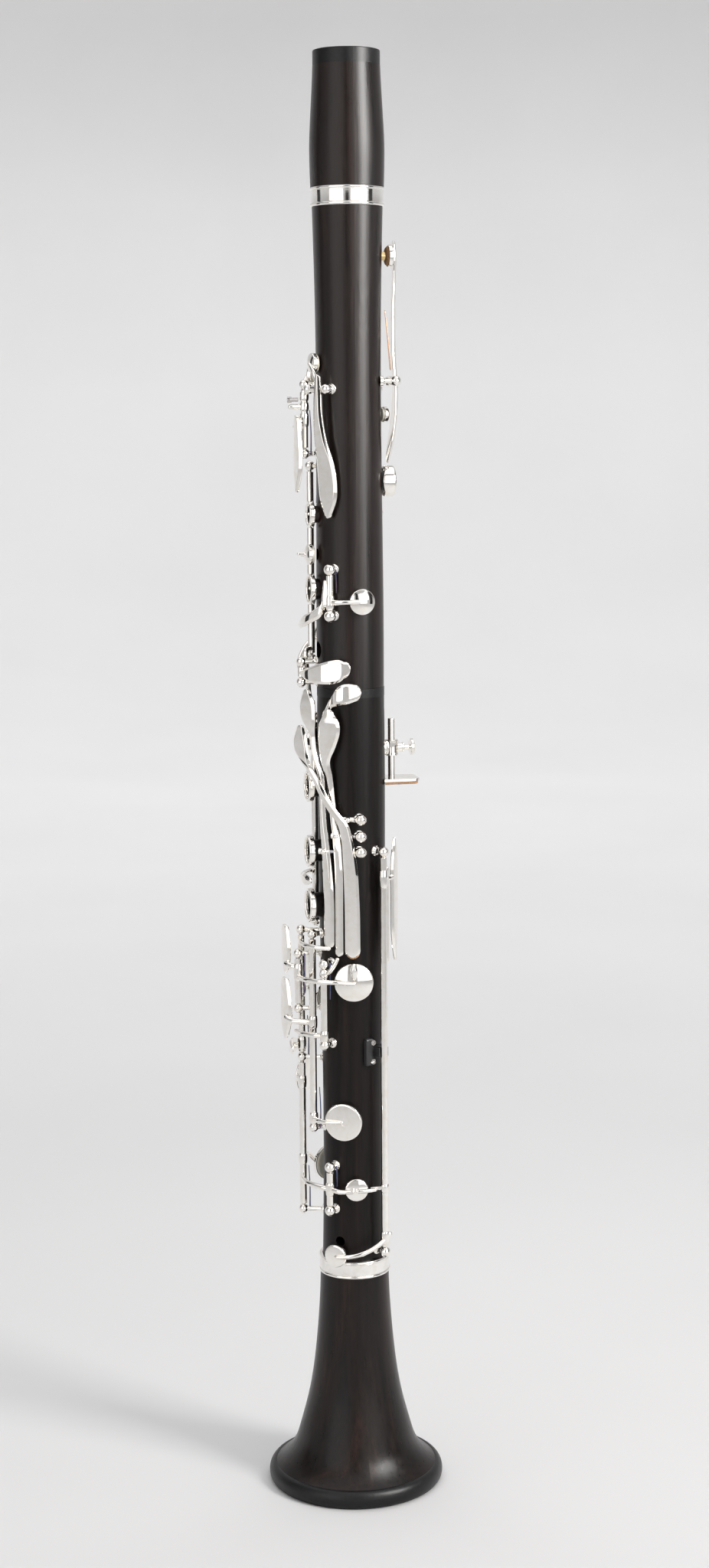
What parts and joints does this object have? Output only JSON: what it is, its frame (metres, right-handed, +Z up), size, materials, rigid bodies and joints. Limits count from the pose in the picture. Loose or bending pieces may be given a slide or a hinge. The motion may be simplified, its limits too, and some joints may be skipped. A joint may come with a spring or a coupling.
{
  "type": "clarinet",
  "caption": "Wooden clarinet without mouthpiece, standing on its bell, with a working set of silver-plated keys, rings and levers.",
  "frame": {"origin": "centre of the bell's mouth plane, where the instrument stands", "axes": "+Z up along the bore to the barrel, -Y towards the finger rings, +X towards the player's left, +Y towards the thumb rest"},
  "size_m": [0.0795, 0.0794, 0.637],
  "materials": {
    "wood_upper": "oiled grenadilla, satin, brown streaks",
    "wood_lower": "oiled grenadilla, satin, nearly black",
    "wood_bell": "oiled grenadilla, satin",
    "black_ring": "matt black composite",
    "plated_ring": "bright silver plate, turned",
    "silver_plate": "bright silver plate, polished",
    "cork": "natural cork, fine grain",
    "steel": "turned steel",
    "vent_metal": "turned brass tube",
    "bush": "turned hard rubber",
    "guide": "matt black nylon",
    "pad_skin": "pale pad skin"
  },
  "bodies": {
    "body": {"barrel": "wood_upper", "barrel_top_ring": "black_ring", "barrel_socket_ring": "plated_ring", "upper_joint": "wood_upper", "upper_tenon_cork": "cork", "centre_tenon_cork": "cork", "lower_joint": "wood_lower", "centre_ring": "black_ring", "lower_tenon_cork": "cork", "bell": "wood_bell", "bell_socket_ring": "plated_ring", "bell_rim_ring": "black_ring", "upper_posts": "silver_plate", "lower_posts": "silver_plate", "hinge_steels": "steel", "register_vent": "vent_metal", "thumb_bush": "bush", "correction_guide": "guide", "guide_screws": "steel"},
    "register_key": {"register_key": "silver_plate", "register_pad": "cork", "register_spring": "steel"},
    "thumb_ring_key": {"thumb_ring_key": "silver_plate"},
    "throat_a_key": {"throat_a_key": "silver_plate"},
    "throat_a_screw": {"throat_a_screw": "steel"},
    "throat_gs_key": {"throat_gs_key": "silver_plate"},
    "upper_ring_key": {"upper_ring_key": "silver_plate"},
    "sliver_eb_key": {"sliver_eb_key": "silver_plate", "sliver_eb_pad": "pad_skin"},
    "cs_gs_key": {"cs_gs_key": "silver_plate"},
    "side_key_1": {"side_key_1": "silver_plate"},
    "side_key_2": {"side_key_2": "silver_plate"},
    "side_key_3": {"side_key_3": "silver_plate"},
    "side_key_4": {"side_key_4": "silver_plate"},
    "lower_ring_key": {"lower_ring_key": "silver_plate"},
    "bf_sliver_key": {"bf_sliver_key": "silver_plate"},
    "lh_ab_eb_lever": {"lh_ab_eb_lever": "silver_plate", "lever_cork": "cork"},
    "lh_f_c_lever": {"lh_f_c_lever": "silver_plate"},
    "lh_e_b_lever": {"lh_e_b_lever": "silver_plate"},
    "lh_fs_cs_lever": {"lh_fs_cs_lever": "silver_plate"},
    "ab_eb_key": {"ab_eb_key": "silver_plate", "ab_eb_pad": "pad_skin"},
    "fs_cs_key": {"fs_cs_key": "silver_plate", "fs_cs_pad": "pad_skin"},
    "f_c_key": {"f_c_key": "silver_plate", "f_c_pad": "pad_skin"},
    "e_b_key": {"e_b_key": "silver_plate", "e_b_pad": "pad_skin"},
    "crow_foot": {"crow_foot": "silver_plate"},
    "transfer_key": {"transfer_key": "silver_plate"},
    "correction_key": {"correction_key": "silver_plate", "correction_pad": "pad_skin"},
    "vent_key": {"vent_key": "silver_plate", "vent_pad": "pad_skin"},
    "thumb_rest": {"thumb_rest": "silver_plate", "thumb_rest_cork": "cork"},
    "thumb_screw": {"thumb_screw": "silver_plate"}
  },
  "joints": [
    {"name": "register_key_pivot", "type": "hinge", "parent": "body", "child": "register_key", "pos_m": [0, 0.0196, 0.4983], "axis": [-1, 0, 0], "range_deg": [0, 2.6], "stiffness_Nm_per_rad": 0.06, "springref_deg": -6.88},
    {"name": "thumb_ring_key_pivot", "type": "hinge", "parent": "body", "child": "thumb_ring_key", "pos_m": [-0.00933, 0.01493, 0.468], "axis": [0, 0, -1], "range_deg": [0, 2.6], "stiffness_Nm_per_rad": 0.04, "springref_deg": -5.73},
    {"name": "throat_a_key_pivot", "type": "hinge", "parent": "body", "child": "throat_a_key", "pos_m": [-0.00102, -0.01937, 0.482], "axis": [0, 0, 1], "range_deg": [0, 7], "stiffness_Nm_per_rad": 0.06, "springref_deg": -6.88},
    {"name": "throat_a_screw_turn", "type": "hinge", "parent": "throat_a_key", "child": "throat_a_screw", "pos_m": [-0.00126, -0.02397, 0.4906], "axis": [-0.0523, -0.9986, 0], "range_deg": [-30, 30]},
    {"name": "throat_gs_key_pivot", "type": "hinge", "parent": "body", "child": "throat_gs_key", "pos_m": [0.00975, -0.01501, 0.495], "axis": [0.8387, 0.5446, 0], "range_deg": [0, 2.2], "stiffness_Nm_per_rad": 0.06, "springref_deg": -6.88},
    {"name": "upper_ring_key_pivot", "type": "hinge", "parent": "body", "child": "upper_ring_key", "pos_m": [-0.00965, -0.01543, 0.42], "axis": [0, 0, 1], "range_deg": [0, 5], "stiffness_Nm_per_rad": 0.04, "springref_deg": -5.73},
    {"name": "sliver_eb_key_pivot", "type": "hinge", "parent": "body", "child": "sliver_eb_key", "pos_m": [0.01435, -0.01183, 0.408], "axis": [0, 0, -1], "range_deg": [0, 6], "stiffness_Nm_per_rad": 0.06, "springref_deg": -6.88},
    {"name": "cs_gs_key_pivot", "type": "hinge", "parent": "body", "child": "cs_gs_key", "pos_m": [-0.00152, -0.02175, 0.3725], "axis": [0, 0, 1], "range_deg": [0, 5], "stiffness_Nm_per_rad": 0.06, "springref_deg": -6.88},
    {"name": "side_key_1_pivot", "type": "hinge", "parent": "body", "child": "side_key_1", "pos_m": [-0.01711, -0.0018, 0.392], "axis": [0.1045, -0.9945, 0], "range_deg": [0, 2.6], "stiffness_Nm_per_rad": 0.06, "springref_deg": -6.88},
    {"name": "side_key_2_pivot", "type": "hinge", "parent": "body", "child": "side_key_2", "pos_m": [-0.01699, 0.00269, 0.398], "axis": [-0.1564, -0.9877, 0], "range_deg": [0, 2.6], "stiffness_Nm_per_rad": 0.06, "springref_deg": -6.88},
    {"name": "side_key_3_pivot", "type": "hinge", "parent": "body", "child": "side_key_3", "pos_m": [-0.01571, 0.007, 0.442], "axis": [-0.4067, -0.9135, 0], "range_deg": [0, 1.4], "stiffness_Nm_per_rad": 0.06, "springref_deg": -6.88},
    {"name": "side_key_4_pivot", "type": "hinge", "parent": "body", "child": "side_key_4", "pos_m": [-0.01337, 0.01082, 0.448], "axis": [-0.6293, -0.7771, 0], "range_deg": [0, 1.3], "stiffness_Nm_per_rad": 0.06, "springref_deg": -6.88},
    {"name": "lower_ring_key_pivot", "type": "hinge", "parent": "body", "child": "lower_ring_key", "pos_m": [-0.01183, -0.01409, 0.305], "axis": [0, 0, 1], "range_deg": [0, 5], "stiffness_Nm_per_rad": 0.04, "springref_deg": -5.73},
    {"name": "bf_sliver_key_pivot", "type": "hinge", "parent": "body", "child": "bf_sliver_key", "pos_m": [-0.01625, -0.00864, 0.285], "axis": [0, 0, 1], "range_deg": [0, 5], "stiffness_Nm_per_rad": 0.06, "springref_deg": -6.88},
    {"name": "lh_ab_eb_lever_pivot", "type": "hinge", "parent": "body", "child": "lh_ab_eb_lever", "pos_m": [0.01474, -0.00784, 0.309], "axis": [-0.4695, -0.8829, 0], "range_deg": [0, 2], "stiffness_Nm_per_rad": 0.03, "springref_deg": -2.86},
    {"name": "lh_f_c_lever_pivot", "type": "hinge", "parent": "body", "child": "lh_f_c_lever", "pos_m": [0.01474, -0.00784, 0.3015], "axis": [-0.4695, -0.8829, 0], "range_deg": [0, 2], "stiffness_Nm_per_rad": 0.03, "springref_deg": -2.86},
    {"name": "lh_e_b_lever_pivot", "type": "hinge", "parent": "body", "child": "lh_e_b_lever", "pos_m": [0.01474, -0.00784, 0.2945], "axis": [-0.4695, -0.8829, 0], "range_deg": [0, 2], "stiffness_Nm_per_rad": 0.03, "springref_deg": -2.86},
    {"name": "lh_fs_cs_lever_pivot", "type": "hinge", "parent": "body", "child": "lh_fs_cs_lever", "pos_m": [0.0081, -0.01461, 0.345], "axis": [-0.8746, -0.4848, 0], "range_deg": [0, 2], "stiffness_Nm_per_rad": 0.03, "springref_deg": -2.86},
    {"name": "ab_eb_key_pivot", "type": "hinge", "parent": "body", "child": "ab_eb_key", "pos_m": [-0.00171, -0.02444, 0.234], "axis": [0, 0, -1], "range_deg": [0, 6], "stiffness_Nm_per_rad": 0.06, "springref_deg": -6.88},
    {"name": "fs_cs_key_pivot", "type": "hinge", "parent": "body", "child": "fs_cs_key", "pos_m": [0.00264, -0.01881, 0.212], "axis": [0, 0, -1], "range_deg": [0, 6], "stiffness_Nm_per_rad": 0.06, "springref_deg": -6.88},
    {"name": "f_c_key_pivot", "type": "hinge", "parent": "body", "child": "f_c_key", "pos_m": [-0.00793, -0.0218, 0.24], "axis": [0, 0, -1], "range_deg": [0, 6], "stiffness_Nm_per_rad": 0.04, "springref_deg": -5.73},
    {"name": "e_b_key_pivot", "type": "hinge", "parent": "body", "child": "e_b_key", "pos_m": [-0.00793, -0.0218, 0.162], "axis": [0, 0, -1], "range_deg": [0, 6], "stiffness_Nm_per_rad": 0.04, "springref_deg": -5.73},
    {"name": "crow_foot_pivot", "type": "hinge", "parent": "body", "child": "crow_foot", "pos_m": [-0.00793, -0.0218, 0.212], "axis": [0, 0, -1], "range_deg": [0, 6], "stiffness_Nm_per_rad": 0.04, "springref_deg": -5.73},
    {"name": "transfer_key_pivot", "type": "hinge", "parent": "body", "child": "transfer_key", "pos_m": [0.01207, -0.01545, 0.226], "axis": [0, 0, -1], "range_deg": [0, 5], "stiffness_Nm_per_rad": 0.04, "springref_deg": -5.73},
    {"name": "correction_key_pivot", "type": "hinge", "parent": "body", "child": "correction_key", "pos_m": [0.0167, 0.01064, 0.203], "axis": [0, 0, 1], "range_deg": [0, 5], "stiffness_Nm_per_rad": 0.06, "springref_deg": -6.88},
    {"name": "vent_key_pivot", "type": "hinge", "parent": "body", "child": "vent_key", "pos_m": [0.01218, -0.01353, 0.141], "axis": [0, 0, -1], "range_deg": [0, 6], "stiffness_Nm_per_rad": 0.04, "springref_deg": -5.73},
    {"name": "thumb_rest_slide", "type": "slide", "parent": "body", "child": "thumb_rest", "axis": [0, 0, 1], "range_m": [-0.006, 0.008]},
    {"name": "thumb_screw_turn", "type": "hinge", "parent": "body", "child": "thumb_screw", "pos_m": [0, 0.024, 0.338], "axis": [0, 1, 0], "range_deg": [-120, 120]}
  ],
  "couplings": [
    {"joint": "lh_ab_eb_lever_pivot", "follows": "ab_eb_key_pivot", "ratio": 0.33},
    {"joint": "lh_f_c_lever_pivot", "follows": "f_c_key_pivot", "ratio": 0.33},
    {"joint": "transfer_key_pivot", "follows": "f_c_key_pivot", "ratio": 0.8},
    {"joint": "lh_e_b_lever_pivot", "follows": "e_b_key_pivot", "ratio": 0.33},
    {"joint": "crow_foot_pivot", "follows": "e_b_key_pivot", "ratio": 1},
    {"joint": "lh_fs_cs_lever_pivot", "follows": "fs_cs_key_pivot", "ratio": 0.3},
    {"joint": "vent_key_pivot", "follows": "correction_key_pivot", "ratio": 1}
  ]
}
